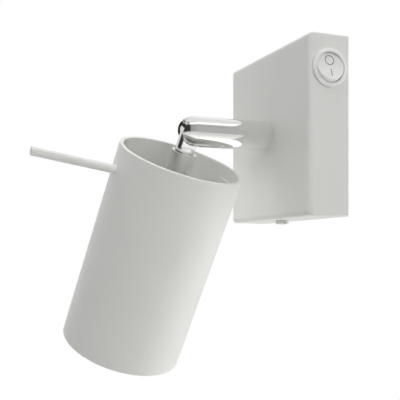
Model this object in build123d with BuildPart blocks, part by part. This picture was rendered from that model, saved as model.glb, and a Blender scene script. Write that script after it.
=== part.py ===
from build123d import *
from math import cos, radians, sin, sqrt
import os

# Pivoting spotlight wall light, in millimetres.
# Frame: +Z up, +X along the wall towards the rocker switch, -Y out from the wall.
# The origin is the middle of the wall box's back, on the wall plane.

# ---------------------------------------------------------------- driving sizes
# Wall box
box_width = 80.0
box_height = 80.0
box_depth = 20.0
box_sheet = 1.2
box_edge_radius = 2.5      # round the front face
box_corner_radius = 1.0    # the four edges that run back to the wall

# Pose in which the light is drawn
arm_turn = 25.0            # degrees the hinge axis is turned from level, about the arm
head_tilt = 80.2           # degrees the lamp head points down from straight out

# Arm
arm_radius = 7.0
hinge_reach = 39.0         # front of the wall box to the hinge axis
dome_setback = 0.8         # centre of the round arm end, behind the hinge axis
thread_radius = 4.95
wire_bore_radius = 3.0
thread_past_nut = 1.0

# Hinge
slot_width = 7.2
tongue_thickness = 6.4
stem_radius = 4.65
hinge_sweep_gap = 0.35
hinge_pin_radius = 1.25
hinge_pin_play = 0.05
hinge_washer_gap = 0.05
near_ear_skin = 2.0        # metal left over the blind end of the pin hole
shoulder_gap = 0.4         # round part of the stem to the arm's round end

# Stem below the hinge
collar_radius = 6.0
collar_edge_radius = 0.4
collar_drop = 10.0         # hinge axis to the collar's top
rim_drop = 13.9            # hinge axis to the shade's rim
bracket_drop = 16.0        # shade's rim to the bracket's cross bar
stem_bore_radius = 2.75

# Shade
shade_radius = 30.0
shade_length = 100.0
shade_wall = 2.0
shade_edge_radius = 0.4

# Shade bracket
bracket_sheet = 1.5
bracket_width = 16.0

# Aiming rod
rod_radius = 2.0
rod_length = 39.0          # outside the shade
rod_drop = 11.5            # shade's rim to the rod's axis
rod_stud_radius = 1.5
rod_nut_flats = 5.5
rod_nut_height = 2.4
rod_end_radius = 0.3

# Threads, nuts and washers on the arm and the stem
nut_flats = 14.0
nut_chamfer = 0.4
arm_nut_height = 3.5
stem_nut_height = 3.0
washer_radius = 8.0
washer_thickness = 0.8
swivel_bush_flange = 1.0
swivel_bush_wall = 1.2
swivel_bush_play = 0.05
stop_tab_reach = 11.5
stop_tab_width = 3.0
stop_pin_radius = 1.5
stop_washer_thickness = 1.2
hole_clearance = 0.15

# Wall plate and what sits on it
plate_sheet = 1.5
plate_clearance = 0.2
plate_tab_width = 24.0
plate_tab_length = 15.0
wall_slot_spacing = 50.0
wall_slot_width = 4.5
wall_slot_length = 10.0
cable_hole_radius = 7.0
cable_hole_x = 18.0
cable_hole_z = -22.0
grommet_lip = 1.6
grommet_wall = 1.2

# Cover screws at the top and the bottom of the wall box
cover_screw_setback = 11.5  # wall to the screws' axis
cover_screw_radius = 1.5
cover_screw_length = 6.0
cover_head_radius = 3.2
cover_head_height = 2.0
cover_slot_width = 0.8
cover_slot_depth = 0.9
cover_head_edge = 0.7

# Earth screw
earth_screw_x = -27.0
earth_screw_z = 27.0
earth_screw_radius = 2.0
earth_head_radius = 3.8
earth_head_height = 2.4
earth_tag_length = 12.0

# Terminal block
block_x = -16.0
block_z = -24.0
block_length = 30.0
block_width = 14.0
block_height = 10.5
block_edge_radius = 1.2
block_poles = 3
block_wire_radius = 1.7
block_screw_radius = 1.4
block_screw_depth = 4.0

# Round rocker switch
switch_drop = 15.2         # top of the wall box to the switch's centre
switch_turn = 3.0          # degrees the switch is turned in its hole
switch_body_radius = 7.4
switch_body_length = 12.0
switch_flange_lip = 1.1    # flange past the body, over the edge of the hole
switch_flange_height = 1.6
switch_wall = 0.55
switch_recess_depth = 6.0
rocker_gap = 0.15          # rocker's ball-shaped side to the wall of the recess
rocker_height = 4.6
rocker_pivot_depth = 1.0   # rocker's axis below the outer face of the wall box
rocker_half_throw = 14.0   # degrees each side of level
rocker_rise = 2.6          # rocker's top above its axis
rocker_edge_radius = 0.5
trunnion_radius = 1.0
trunnion_play = 0.05
blade_width = 4.8
blade_thickness = 0.8
blade_length = 6.0
blade_spacing = 7.0

# Lamp and lampholder
lamp_clearance = 3.0       # lamp's rim to the shade's bore
lamp_length = 46.5         # face to base, without the pins
lamp_rim_height = 7.0
lamp_base_radius = 11.5
lamp_base_height = 12.0
lamp_flare_lean = 0.6      # run per unit of rise where the flare leaves the base
lens_rim = 2.5             # lamp's rim past the lens
lens_thickness = 1.2
lens_inset = 0.5
pin_circle_radius = 5.0
pin_neck_radius = 1.25
pin_foot_radius = 2.5
pin_neck_length = 3.8
pin_foot_height = 3.2
lamp_twist = 20.0          # degrees from locked to free
lamp_gap = 0.3
holder_radius = 14.5
holder_height = 16.0
holder_edge_radius = 1.2
holder_screw_circle = 11.3
holder_screw_radius = 1.5
holder_screw_head_radius = 2.7
holder_screw_head_height = 1.8
holder_screw_depth = 6.0
spacer_radius = 2.5
spacer_length = 7.7        # bracket to the lampholder
contact_height = 2.0

# Leads inside the light
lead_radius = 1.0
lead_spacing = 2.6
lead_bend = 5.0
lead_bend_share = 0.45     # of a lead's shortest run, at most
lead_end_gap = 1.5         # slack left out where a lead crosses into a turning part
lead_tip_gap = 0.4

# ---------------------------------------------------------------- shared frames
turn = radians(arm_turn)
tilt = radians(head_tilt)
half_depth = box_depth / 2
hinge_y = -(box_depth + hinge_reach)

out_dir = Vector(0, -1, 0)
hinge_dir = Vector(cos(turn), 0, -sin(turn))
drop_dir = Vector(-sin(turn), 0, -cos(turn))
beam_dir = out_dir * cos(tilt) + drop_dir * sin(tilt)

# The arm's plane looks out from the wall: local x is the hinge axis and z runs out.
arm_plane = Plane(origin=(0, 0, 0), x_dir=hinge_dir, z_dir=out_dir)
# The head's plane: local x is the hinge axis, y the rod's side, and z runs down the beam.
head_plane = Plane(origin=(0, hinge_y, 0), x_dir=hinge_dir, z_dir=beam_dir)
rod_dir = head_plane.y_dir
beam_axis = Axis(head_plane.origin, beam_dir)
# The hinge pin's plane: local x runs out from the wall and z along the pin.
pin_plane = Plane(origin=(0, hinge_y, 0), x_dir=out_dir, z_dir=hinge_dir)
# The rod's plane, on the shade's axis: local z runs along the rod.
rod_plane = Plane(origin=head_plane.offset(rim_drop + rod_drop).origin, z_dir=rod_dir)

# Distances down the head from the hinge axis
bracket_top = rim_drop + bracket_drop
bracket_bottom = bracket_top + bracket_sheet
stem_end = bracket_bottom + stem_nut_height + washer_thickness + thread_past_nut
holder_top = bracket_bottom + spacer_length
holder_face = holder_top + holder_height
lamp_base = holder_face + lamp_gap
lamp_face = lamp_base + lamp_length

# Radii that follow from one another
shade_bore_radius = shade_radius - shade_wall
lamp_radius = shade_bore_radius - lamp_clearance
lens_radius = lamp_radius - lens_rim
switch_hole_radius = switch_body_radius + hole_clearance
switch_flange_radius = switch_body_radius + switch_flange_lip
switch_recess_radius = switch_body_radius - switch_wall
rocker_radius = switch_recess_radius - rocker_gap

os.makedirs("parts", exist_ok=True)


def head_at(distance):
    """The head's plane, moved down the beam from the hinge axis."""
    return head_plane.offset(distance)


def arm_at(distance):
    """The arm's plane, moved out from the wall."""
    return arm_plane.offset(distance)


# ---------------------------------------------------------------- wall box
cover_screw_y = -cover_screw_setback
switch_z = box_height / 2 - switch_drop
switch_turn_angle = radians(switch_turn)
switch_plane = Plane(
    origin=(box_width / 2, -half_depth, switch_z),
    x_dir=(0, cos(switch_turn_angle), sin(switch_turn_angle)),
    z_dir=(1, 0, 0),
)
bush_radius = thread_radius + hole_clearance + swivel_bush_wall

with BuildPart() as canopy_box:
    with BuildSketch(Plane.XZ):
        Rectangle(box_width, box_height)
    extrude(amount=box_depth)
    fillet(canopy_box.edges().filter_by(Axis.Y), box_corner_radius)
    front_edges = canopy_box.edges().filter_by_position(Axis.Y, -box_depth, -box_depth)
    fillet(front_edges, box_edge_radius)
    with BuildSketch(Plane.XZ):
        Rectangle(box_width - 2 * box_sheet, box_height - 2 * box_sheet)
    extrude(amount=box_depth - box_sheet, mode=Mode.SUBTRACT)
    inner_edges = canopy_box.edges().filter_by_position(
        Axis.Y, box_sheet - box_depth, box_sheet - box_depth
    )
    fillet(inner_edges, box_edge_radius - box_sheet)
    # hole for the arm
    with BuildSketch(Plane.XZ):
        Circle(bush_radius)
    extrude(amount=box_depth, mode=Mode.SUBTRACT)
    # hole and room for the switch
    with BuildSketch(switch_plane):
        Circle(switch_hole_radius)
    extrude(amount=-switch_body_length, mode=Mode.SUBTRACT)
    # holes for the two cover screws
    with BuildSketch(Plane.XY):
        with Locations((0, cover_screw_y)):
            Circle(cover_screw_radius + hole_clearance)
    extrude(amount=box_height, both=True, mode=Mode.SUBTRACT)
canopy_box.part.label = "canopy_box"
export_step(canopy_box.part, "parts/canopy_box.step")

# ---------------------------------------------------------------- wall plate
plate_width = box_width - 2 * (box_sheet + plate_clearance)
plate_height = box_height - 2 * box_sheet

with BuildPart() as wall_plate:
    with BuildSketch(Plane.XZ):
        Rectangle(plate_width, plate_height - 2 * plate_clearance)
        Rectangle(plate_tab_width, plate_height)
        with Locations((cable_hole_x, cable_hole_z)):
            Circle(cable_hole_radius, mode=Mode.SUBTRACT)
        with Locations((earth_screw_x, earth_screw_z)):
            Circle(earth_screw_radius, mode=Mode.SUBTRACT)
        with GridLocations(wall_slot_spacing, 0, 2, 1):
            SlotOverall(wall_slot_length, wall_slot_width, mode=Mode.SUBTRACT)
    extrude(amount=plate_sheet)
    # folded tabs that the cover screws bite into
    with BuildSketch(Plane.XZ):
        with GridLocations(0, plate_height - plate_sheet, 1, 2):
            Rectangle(plate_tab_width, plate_sheet)
    extrude(amount=plate_tab_length)
    with BuildSketch(Plane.XY):
        with Locations((0, cover_screw_y)):
            Circle(cover_screw_radius)
    extrude(amount=box_height, both=True, mode=Mode.SUBTRACT)
    # room for the switch
    with BuildSketch(switch_plane):
        Circle(switch_hole_radius)
    extrude(amount=-switch_body_length, mode=Mode.SUBTRACT)
wall_plate.part.label = "wall_plate"
export_step(wall_plate.part, "parts/wall_plate.step")

# Rubber grommet in the plate's cable hole
with BuildPart() as cable_grommet:
    with BuildSketch(Plane.XZ):
        with Locations((cable_hole_x, cable_hole_z)):
            Circle(cable_hole_radius)
    extrude(amount=plate_sheet)
    with BuildSketch(Plane.XZ.offset(plate_sheet)):
        with Locations((cable_hole_x, cable_hole_z)):
            Circle(cable_hole_radius + grommet_lip)
    extrude(amount=grommet_lip)
    with BuildSketch(Plane.XZ):
        with Locations((cable_hole_x, cable_hole_z)):
            Circle(cable_hole_radius - grommet_wall)
    extrude(amount=plate_sheet + grommet_lip, mode=Mode.SUBTRACT)
cable_grommet.part.label = "cable_grommet"
export_step(cable_grommet.part, "parts/cable_grommet.step")

# Two slotted screws that hold the wall box on the plate's tabs
with BuildPart() as cover_screws:
    for side in (1, -1):
        seat = Plane(origin=(0, cover_screw_y, side * box_height / 2), z_dir=(0, 0, side))
        with BuildSketch(seat):
            Circle(cover_screw_radius)
        extrude(amount=-cover_screw_length)
        with BuildSketch(seat):
            Circle(cover_head_radius)
        extrude(amount=cover_head_height)
        head_top = cover_screws.faces().sort_by(Axis.Z)[-1 if side == 1 else 0]
        fillet(head_top.edges(), cover_head_edge)
        with BuildSketch(seat.offset(cover_head_height - cover_slot_depth)):
            Rectangle(2 * cover_head_radius, cover_slot_width)
        extrude(amount=cover_slot_depth, mode=Mode.SUBTRACT)
cover_screws.part.label = "cover_screws"
export_step(cover_screws.part, "parts/cover_screws.step")

# Earth screw with its ring tag, on the plate
with BuildPart() as earth_screw:
    with BuildSketch(Plane.XZ):
        with Locations((earth_screw_x, earth_screw_z)):
            Circle(earth_screw_radius)
    extrude(amount=plate_sheet + washer_thickness)
    with BuildSketch(Plane.XZ.offset(plate_sheet)):
        with Locations((earth_screw_x, earth_screw_z)):
            Circle(earth_head_radius + washer_thickness)
        with Locations((earth_screw_x + earth_tag_length / 2, earth_screw_z)):
            Rectangle(earth_tag_length, earth_head_radius)
    extrude(amount=washer_thickness)
    with BuildSketch(Plane.XZ.offset(plate_sheet + washer_thickness)):
        with Locations((earth_screw_x, earth_screw_z)):
            Circle(earth_head_radius)
    extrude(amount=earth_head_height)
    with BuildSketch(Plane.XZ.offset(plate_sheet + washer_thickness + earth_head_height)):
        with Locations((earth_screw_x, earth_screw_z)):
            Rectangle(2 * earth_head_radius, cover_slot_width)
    extrude(amount=-cover_slot_depth, mode=Mode.SUBTRACT)
earth_screw.part.label = "earth_screw"
export_step(earth_screw.part, "parts/earth_screw.step")

# ---------------------------------------------------------------- terminal block
pole_pitch = block_length / block_poles
screw_row_z = block_width / 4
block_top_y = -(plate_sheet + block_height)

with BuildPart() as terminal_block:
    with BuildSketch(Plane.XZ.offset(plate_sheet)):
        with Locations((block_x, block_z)):
            RectangleRounded(block_length, block_width, block_edge_radius)
    extrude(amount=block_height)
    # a wire tunnel through each pole
    with BuildSketch(Plane.XY.offset(block_z - block_width / 2)):
        with Locations((block_x, -(plate_sheet + block_height / 2))):
            with GridLocations(pole_pitch, 0, block_poles, 1):
                Circle(block_wire_radius)
    extrude(amount=block_width, mode=Mode.SUBTRACT)
    # two screw wells over each pole
    with BuildSketch(Plane.XZ.offset(-block_top_y)):
        with Locations((block_x, block_z)):
            with GridLocations(pole_pitch, 2 * screw_row_z, block_poles, 2):
                Circle(block_screw_radius + hole_clearance)
    extrude(amount=-block_screw_depth, mode=Mode.SUBTRACT)
terminal_block.part.label = "terminal_block"
export_step(terminal_block.part, "parts/terminal_block.step")

with BuildPart() as terminal_screws:
    with BuildSketch(Plane.XZ.offset(-block_top_y - block_screw_depth)):
        with Locations((block_x, block_z)):
            with GridLocations(pole_pitch, 2 * screw_row_z, block_poles, 2):
                Circle(block_screw_radius)
    extrude(amount=block_screw_depth / 2)
terminal_screws.part.label = "terminal_screws"
export_step(terminal_screws.part, "parts/terminal_screws.step")

# ---------------------------------------------------------------- rocker switch
with BuildPart() as switch_body:
    with BuildSketch(switch_plane):
        Circle(switch_flange_radius)
    extrude(amount=switch_flange_height)
    fillet(switch_body.faces().sort_by(Axis.X)[-1].edges(), switch_flange_height / 2)
    with BuildSketch(switch_plane):
        Circle(switch_body_radius)
    extrude(amount=-switch_body_length)
    with BuildSketch(switch_plane.offset(switch_flange_height)):
        Circle(switch_recess_radius)
    extrude(amount=-(switch_flange_height + switch_recess_depth), mode=Mode.SUBTRACT)
    # bearings for the rocker's trunnions
    with BuildSketch(
        Plane(
            origin=switch_plane.offset(-rocker_pivot_depth).origin,
            x_dir=(1, 0, 0),
            z_dir=switch_plane.x_dir,
        )
    ):
        Circle(trunnion_radius + trunnion_play)
    extrude(amount=switch_body_radius, both=True, mode=Mode.SUBTRACT)
switch_body.part.label = "switch_body"
export_step(switch_body.part, "parts/switch_body.step")

# The rocker is drawn with its upper side, marked O, pressed in.
rocker_lean = radians(rocker_half_throw)
rocker_plane = Plane(
    origin=switch_plane.offset(-rocker_pivot_depth).origin,
    x_dir=switch_plane.x_dir,
    z_dir=switch_plane.z_dir * cos(rocker_lean) + switch_plane.y_dir * sin(rocker_lean),
)

with BuildPart() as switch_rocker:
    with BuildSketch(rocker_plane.offset(rocker_rise)):
        Circle(rocker_radius)
    extrude(amount=-rocker_height)
    with Locations(rocker_plane):
        Sphere(rocker_radius, mode=Mode.INTERSECT)
    fillet(switch_rocker.faces().sort_by(Axis.X)[-1].edges(), rocker_edge_radius)
    with BuildSketch(
        Plane(origin=rocker_plane.origin, x_dir=rocker_plane.z_dir, z_dir=rocker_plane.x_dir)
    ):
        Circle(trunnion_radius)
    extrude(amount=switch_body_radius - hole_clearance, both=True)
switch_rocker.part.label = "switch_rocker"
export_step(switch_rocker.part, "parts/switch_rocker.step")

with BuildPart() as switch_terminals:
    with BuildSketch(switch_plane.offset(-switch_body_length)):
        with GridLocations(0, blade_spacing, 1, 2):
            Rectangle(blade_width, blade_thickness)
    extrude(amount=-blade_length)
switch_terminals.part.label = "switch_terminals"
export_step(switch_terminals.part, "parts/switch_terminals.step")

# ---------------------------------------------------------------- swivel of the arm
# From the box's sheet inwards: bush flange, stop washer, spring washer, nut.
bush_back = box_depth - box_sheet - swivel_bush_flange
stop_back = bush_back - stop_washer_thickness
spring_back = stop_back - washer_thickness
arm_nut_back = spring_back - arm_nut_height
thread_back = arm_nut_back - thread_past_nut

with BuildPart() as swivel_bush:
    with BuildSketch(arm_at(box_depth)):
        Circle(bush_radius)
    extrude(amount=-box_sheet)
    with BuildSketch(arm_at(bush_back)):
        Circle(washer_radius)
    extrude(amount=swivel_bush_flange)
    with BuildSketch(arm_at(box_depth)):
        Circle(thread_radius + swivel_bush_play)
    extrude(amount=-2 * box_sheet, mode=Mode.SUBTRACT)
swivel_bush.part.label = "swivel_bush"
export_step(swivel_bush.part, "parts/swivel_bush.step")

# The stop washer turns with the arm, and its tab meets the pin after most of a turn.
stop_plane = Plane(origin=(0, -stop_back, 0), x_dir=(1, 0, 0), z_dir=out_dir)
with BuildPart() as stop_washer:
    with BuildSketch(arm_at(stop_back)):
        Circle(washer_radius)
        with Locations((0, stop_tab_reach / 2)):
            Rectangle(stop_tab_width, stop_tab_reach)
        Circle(thread_radius + hole_clearance, mode=Mode.SUBTRACT)
    extrude(amount=stop_washer_thickness)
stop_washer.part.label = "stop_washer"
export_step(stop_washer.part, "parts/stop_washer.step")

stop_pin_length = box_depth - box_sheet - stop_back
with BuildPart() as stop_pin:
    with BuildSketch(stop_plane):
        with Locations((0, -(stop_tab_reach - stop_pin_radius))):
            Circle(stop_pin_radius)
    extrude(amount=stop_pin_length)
stop_pin.part.label = "stop_pin"
export_step(stop_pin.part, "parts/stop_pin.step")

with BuildPart() as arm_spring_washer:
    with BuildSketch(arm_at(spring_back)):
        Circle(washer_radius)
        Circle(thread_radius + hole_clearance, mode=Mode.SUBTRACT)
    extrude(amount=washer_thickness)
arm_spring_washer.part.label = "arm_spring_washer"
export_step(arm_spring_washer.part, "parts/arm_spring_washer.step")

with BuildPart() as arm_nut:
    with BuildSketch(arm_at(arm_nut_back)):
        RegularPolygon(nut_flats / 2, 6, major_radius=False)
        Circle(thread_radius, mode=Mode.SUBTRACT)
    extrude(amount=arm_nut_height)
    chamfer(arm_nut.faces().sort_by(Axis.Y)[-1].outer_wire().edges(), nut_chamfer)
arm_nut.part.label = "arm_nut"
export_step(arm_nut.part, "parts/arm_nut.step")

# ---------------------------------------------------------------- arm
dome_reach = box_depth + hinge_reach - dome_setback
hinge_out = box_depth + hinge_reach
slot_floor = hinge_out - stem_radius - hinge_sweep_gap
slot_roof = stem_radius + hinge_sweep_gap
ear_reach = sqrt(arm_radius**2 - dome_setback**2)
blind_end = ear_reach - near_ear_skin

with BuildPart() as arm_barrel:
    # profile of the threaded end, the barrel and its round end, turned about the arm's axis
    with BuildSketch(Plane(origin=(0, 0, 0), x_dir=out_dir, z_dir=(1, 0, 0))):
        with BuildLine():
            Polyline(
                (thread_back, 0),
                (thread_back, thread_radius),
                (box_depth, thread_radius),
                (box_depth, arm_radius),
                (dome_reach, arm_radius),
            )
            CenterArc((dome_reach, 0), arm_radius, 0, 90)
            Line((dome_reach + arm_radius, 0), (thread_back, 0))
        make_face()
    revolve(axis=Axis.Y)
    # slot for the stem's tongue, open at the round end and below
    with BuildSketch(arm_at(slot_floor)):
        with Locations((0, (slot_roof - arm_radius) / 2)):
            Rectangle(slot_width, arm_radius + slot_roof)
    extrude(amount=2 * arm_radius, mode=Mode.SUBTRACT)
    # wire bore
    with BuildSketch(arm_at(thread_back)):
        Circle(wire_bore_radius)
    extrude(amount=slot_floor - thread_back, mode=Mode.SUBTRACT)
    # hinge pin hole, blind in the near ear
    with BuildSketch(pin_plane):
        Circle(hinge_pin_radius)
    extrude(amount=-2 * arm_radius, mode=Mode.SUBTRACT)
    with BuildSketch(pin_plane):
        Circle(hinge_pin_radius)
    extrude(amount=blind_end, mode=Mode.SUBTRACT)
arm_barrel.part.label = "arm_barrel"
export_step(arm_barrel.part, "parts/arm_barrel.step")

# Hinge pin, pressed in from the far side and finished flush
pin_flush = sqrt(arm_radius**2 - (dome_setback + hinge_pin_radius) ** 2)
with BuildPart() as hinge_pin:
    with BuildSketch(pin_plane.offset(-pin_flush)):
        Circle(hinge_pin_radius)
    extrude(amount=pin_flush + blind_end)
hinge_pin.part.label = "hinge_pin"
export_step(hinge_pin.part, "parts/hinge_pin.step")

# A thin friction washer on each side of the tongue
hinge_washer_thickness = (slot_width - tongue_thickness) / 2 - hinge_washer_gap
with BuildPart() as hinge_washers:
    for side in (1, -1):
        with BuildSketch(pin_plane.offset(side * slot_width / 2)):
            Circle(stem_radius - hinge_sweep_gap)
            Circle(hinge_pin_radius, mode=Mode.SUBTRACT)
        extrude(amount=-side * hinge_washer_thickness)
hinge_washers.part.label = "hinge_washers"
export_step(hinge_washers.part, "parts/hinge_washers.step")

# ---------------------------------------------------------------- stem of the head
shoulder = arm_radius + shoulder_gap

with BuildPart() as head_stem:
    # tongue with a round end on the hinge axis
    with BuildSketch(pin_plane.offset(-tongue_thickness / 2)):
        Circle(stem_radius)
    extrude(amount=tongue_thickness)
    with BuildSketch(head_plane):
        Circle(stem_radius)
    extrude(amount=shoulder)
    with BuildSketch(head_plane):
        with GridLocations(tongue_thickness + 2 * stem_radius, 0, 2, 1):
            Rectangle(2 * stem_radius, 3 * stem_radius)
    extrude(amount=shoulder, mode=Mode.SUBTRACT)
    # round neck, collar and threaded end
    with BuildSketch(head_at(shoulder)):
        Circle(stem_radius)
    extrude(amount=collar_drop - shoulder)
    with BuildSketch(head_at(collar_drop)):
        Circle(collar_radius)
    extrude(amount=bracket_top - collar_drop)
    collar_rims = head_stem.edges().filter_by(GeomType.CIRCLE).group_by(SortBy.RADIUS)[-1]
    fillet(collar_rims.sort_by(beam_axis)[0], collar_edge_radius)
    with BuildSketch(head_at(bracket_top)):
        Circle(thread_radius)
    extrude(amount=stem_end - bracket_top)
    # hole for the hinge pin
    with BuildSketch(pin_plane):
        Circle(hinge_pin_radius + hinge_pin_play)
    extrude(amount=tongue_thickness, both=True, mode=Mode.SUBTRACT)
    # wire bore, up to the hinge
    with BuildSketch(head_plane):
        Circle(stem_bore_radius)
    extrude(amount=stem_end, mode=Mode.SUBTRACT)
head_stem.part.label = "head_stem"
export_step(head_stem.part, "parts/head_stem.step")

# ---------------------------------------------------------------- shade and its bracket
with BuildPart() as shade_tube:
    with BuildSketch(head_at(rim_drop)):
        Circle(shade_radius)
        Circle(shade_bore_radius, mode=Mode.SUBTRACT)
    extrude(amount=shade_length)
    rims = shade_tube.faces().filter_by(GeomType.PLANE)
    fillet(rims.edges(), shade_edge_radius)
    # hole for the rod's stud, on the rod's side
    with BuildSketch(rod_plane):
        Circle(rod_stud_radius)
    extrude(amount=2 * shade_radius, mode=Mode.SUBTRACT)
shade_tube.part.label = "shade_tube"
export_step(shade_tube.part, "parts/shade_tube.step")

tab_length = bracket_bottom - (rim_drop + rod_drop - rod_nut_flats)
with BuildPart() as shade_bracket:
    # cross bar and the two curved tabs that lie on the shade's wall
    with BuildSketch(head_at(bracket_bottom - tab_length)):
        Circle(shade_bore_radius)
        Circle(shade_bore_radius - bracket_sheet, mode=Mode.SUBTRACT)
    extrude(amount=tab_length)
    with BuildSketch(head_at(bracket_top)):
        Circle(shade_bore_radius)
    extrude(amount=bracket_sheet)
    with BuildSketch(head_at(bracket_bottom - tab_length)):
        Rectangle(bracket_width, 3 * shade_radius)
    extrude(amount=tab_length, mode=Mode.INTERSECT)
    # holes for the stem, the rod's stud and the lampholder's screws
    with BuildSketch(head_at(bracket_top)):
        Circle(thread_radius + hole_clearance)
        with GridLocations(0, 2 * holder_screw_circle, 1, 2):
            Circle(holder_screw_radius + hole_clearance)
    extrude(amount=bracket_sheet, mode=Mode.SUBTRACT)
    with BuildSketch(rod_plane):
        Circle(rod_stud_radius)
    extrude(amount=2 * shade_radius, mode=Mode.SUBTRACT)
shade_bracket.part.label = "shade_bracket"
export_step(shade_bracket.part, "parts/shade_bracket.step")

with BuildPart() as stem_washer:
    with BuildSketch(head_at(bracket_bottom)):
        Circle(washer_radius)
        Circle(thread_radius + hole_clearance, mode=Mode.SUBTRACT)
    extrude(amount=washer_thickness)
stem_washer.part.label = "stem_washer"
export_step(stem_washer.part, "parts/stem_washer.step")

with BuildPart() as stem_nut:
    with BuildSketch(head_at(bracket_bottom + washer_thickness)):
        RegularPolygon(nut_flats / 2, 6, major_radius=False)
        Circle(thread_radius, mode=Mode.SUBTRACT)
    extrude(amount=stem_nut_height)
stem_nut.part.label = "stem_nut"
export_step(stem_nut.part, "parts/stem_nut.step")

# ---------------------------------------------------------------- aiming rod
rod_nut_corner = rod_nut_flats / sqrt(3)
rod_nut_seat = sqrt((shade_bore_radius - bracket_sheet) ** 2 - rod_nut_corner**2)
rod_nut_inner = rod_nut_seat - rod_nut_height

with BuildPart() as aiming_rod:
    with BuildSketch(rod_plane):
        Circle(rod_radius)
    extrude(amount=shade_radius + rod_length)
    # the rod's inner end sits on the shade's round wall
    with BuildSketch(head_at(rim_drop)):
        Circle(shade_radius)
    extrude(amount=2 * rod_drop, mode=Mode.SUBTRACT)
    rod_end = aiming_rod.faces().sort_by(Axis(rod_plane.origin, rod_dir))[-1]
    fillet(rod_end.edges(), rod_end_radius)
    with BuildSketch(rod_plane.offset(rod_nut_inner)):
        Circle(rod_stud_radius)
    extrude(amount=shade_radius + rod_radius - rod_nut_inner)
aiming_rod.part.label = "aiming_rod"
export_step(aiming_rod.part, "parts/aiming_rod.step")

with BuildPart() as rod_nut:
    with BuildSketch(rod_plane.offset(rod_nut_inner)):
        RegularPolygon(rod_nut_flats / 2, 6, major_radius=False)
        Circle(rod_stud_radius, mode=Mode.SUBTRACT)
    extrude(amount=rod_nut_height)
rod_nut.part.label = "rod_nut"
export_step(rod_nut.part, "parts/rod_nut.step")

# ---------------------------------------------------------------- lampholder
foot_ledge = lamp_base - pin_neck_length + lamp_gap
foot_top = lamp_base - pin_neck_length - pin_foot_height
cavity_top = foot_top - lamp_gap
foot_slot = 2 * (pin_foot_radius + lamp_gap)
neck_slot = 2 * (pin_neck_radius + lamp_gap)

with BuildPart() as lampholder:
    with BuildSketch(head_at(holder_top)):
        Circle(holder_radius)
    extrude(amount=holder_height)
    fillet(lampholder.faces().sort_by(beam_axis)[-1].edges(), holder_edge_radius)
    # curved slots in which the lamp's pins turn and lock
    for start in (0, 180):
        with BuildSketch(head_at(holder_face)):
            with BuildLine():
                pin_path = CenterArc((0, 0), pin_circle_radius, start, lamp_twist)
            SlotArc(pin_path, neck_slot)
            with PolarLocations(pin_circle_radius, 1, start + lamp_twist):
                Circle(foot_slot / 2)
        extrude(amount=foot_ledge - holder_face, mode=Mode.SUBTRACT)
        with BuildSketch(head_at(foot_ledge)):
            with BuildLine():
                pin_path = CenterArc((0, 0), pin_circle_radius, start, lamp_twist)
            SlotArc(pin_path, foot_slot)
        extrude(amount=cavity_top - contact_height - foot_ledge, mode=Mode.SUBTRACT)
    # central hole for the leads, and the screw holes
    with BuildSketch(head_at(holder_top)):
        Circle(pin_circle_radius - pin_foot_radius)
        with GridLocations(0, 2 * holder_screw_circle, 1, 2):
            Circle(holder_screw_radius)
    extrude(amount=holder_screw_depth, mode=Mode.SUBTRACT)
lampholder.part.label = "lampholder"
export_step(lampholder.part, "parts/lampholder.step")

# Brass contacts over the pins
with BuildPart() as lampholder_contacts:
    with BuildSketch(head_at(cavity_top - contact_height)):
        for start in (0, 180):
            with BuildLine():
                pin_path = CenterArc((0, 0), pin_circle_radius, start, lamp_twist)
            SlotArc(pin_path, foot_slot)
    extrude(amount=contact_height)
lampholder_contacts.part.label = "lampholder_contacts"
export_step(lampholder_contacts.part, "parts/lampholder_contacts.step")

with BuildPart() as holder_spacers:
    with BuildSketch(head_at(bracket_bottom)):
        with GridLocations(0, 2 * holder_screw_circle, 1, 2):
            Circle(spacer_radius)
            Circle(holder_screw_radius + hole_clearance, mode=Mode.SUBTRACT)
    extrude(amount=holder_top - bracket_bottom)
holder_spacers.part.label = "holder_spacers"
export_step(holder_spacers.part, "parts/holder_spacers.step")

with BuildPart() as holder_screws:
    with BuildSketch(head_at(bracket_top)):
        with GridLocations(0, 2 * holder_screw_circle, 1, 2):
            Circle(holder_screw_radius)
    extrude(amount=holder_top + holder_screw_depth - bracket_top)
    with BuildSketch(head_at(bracket_top - holder_screw_head_height)):
        with GridLocations(0, 2 * holder_screw_circle, 1, 2):
            Circle(holder_screw_head_radius)
    extrude(amount=holder_screw_head_height)
holder_screws.part.label = "holder_screws"
export_step(holder_screws.part, "parts/holder_screws.step")

# ---------------------------------------------------------------- lamp
with BuildPart() as lamp_body:
    # profile turned about the head's axis: base, flare and rim
    with BuildSketch(Plane(origin=head_plane.origin, x_dir=beam_dir, z_dir=hinge_dir)):
        with BuildLine():
            Polyline(
                (lamp_base, 0),
                (lamp_base, lamp_base_radius),
                (lamp_base + lamp_base_height, lamp_base_radius),
            )
            Spline(
                (lamp_base + lamp_base_height, lamp_base_radius),
                (lamp_face - lamp_rim_height, lamp_radius),
                tangents=((lamp_flare_lean, 1), (1, 0)),
            )
            Polyline(
                (lamp_face - lamp_rim_height, lamp_radius),
                (lamp_face, lamp_radius),
                (lamp_face, lens_radius),
                (lamp_face - lens_inset - lens_thickness, lens_radius),
                (lamp_face - lens_inset - lens_thickness, 0),
                (lamp_base, 0),
            )
        make_face()
    revolve(axis=beam_axis)
lamp_body.part.label = "lamp_body"
export_step(lamp_body.part, "parts/lamp_body.step")

with BuildPart() as lamp_lens:
    with BuildSketch(head_at(lamp_face - lens_inset - lens_thickness)):
        Circle(lens_radius)
    extrude(amount=lens_thickness)
lamp_lens.part.label = "lamp_lens"
export_step(lamp_lens.part, "parts/lamp_lens.step")

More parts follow.
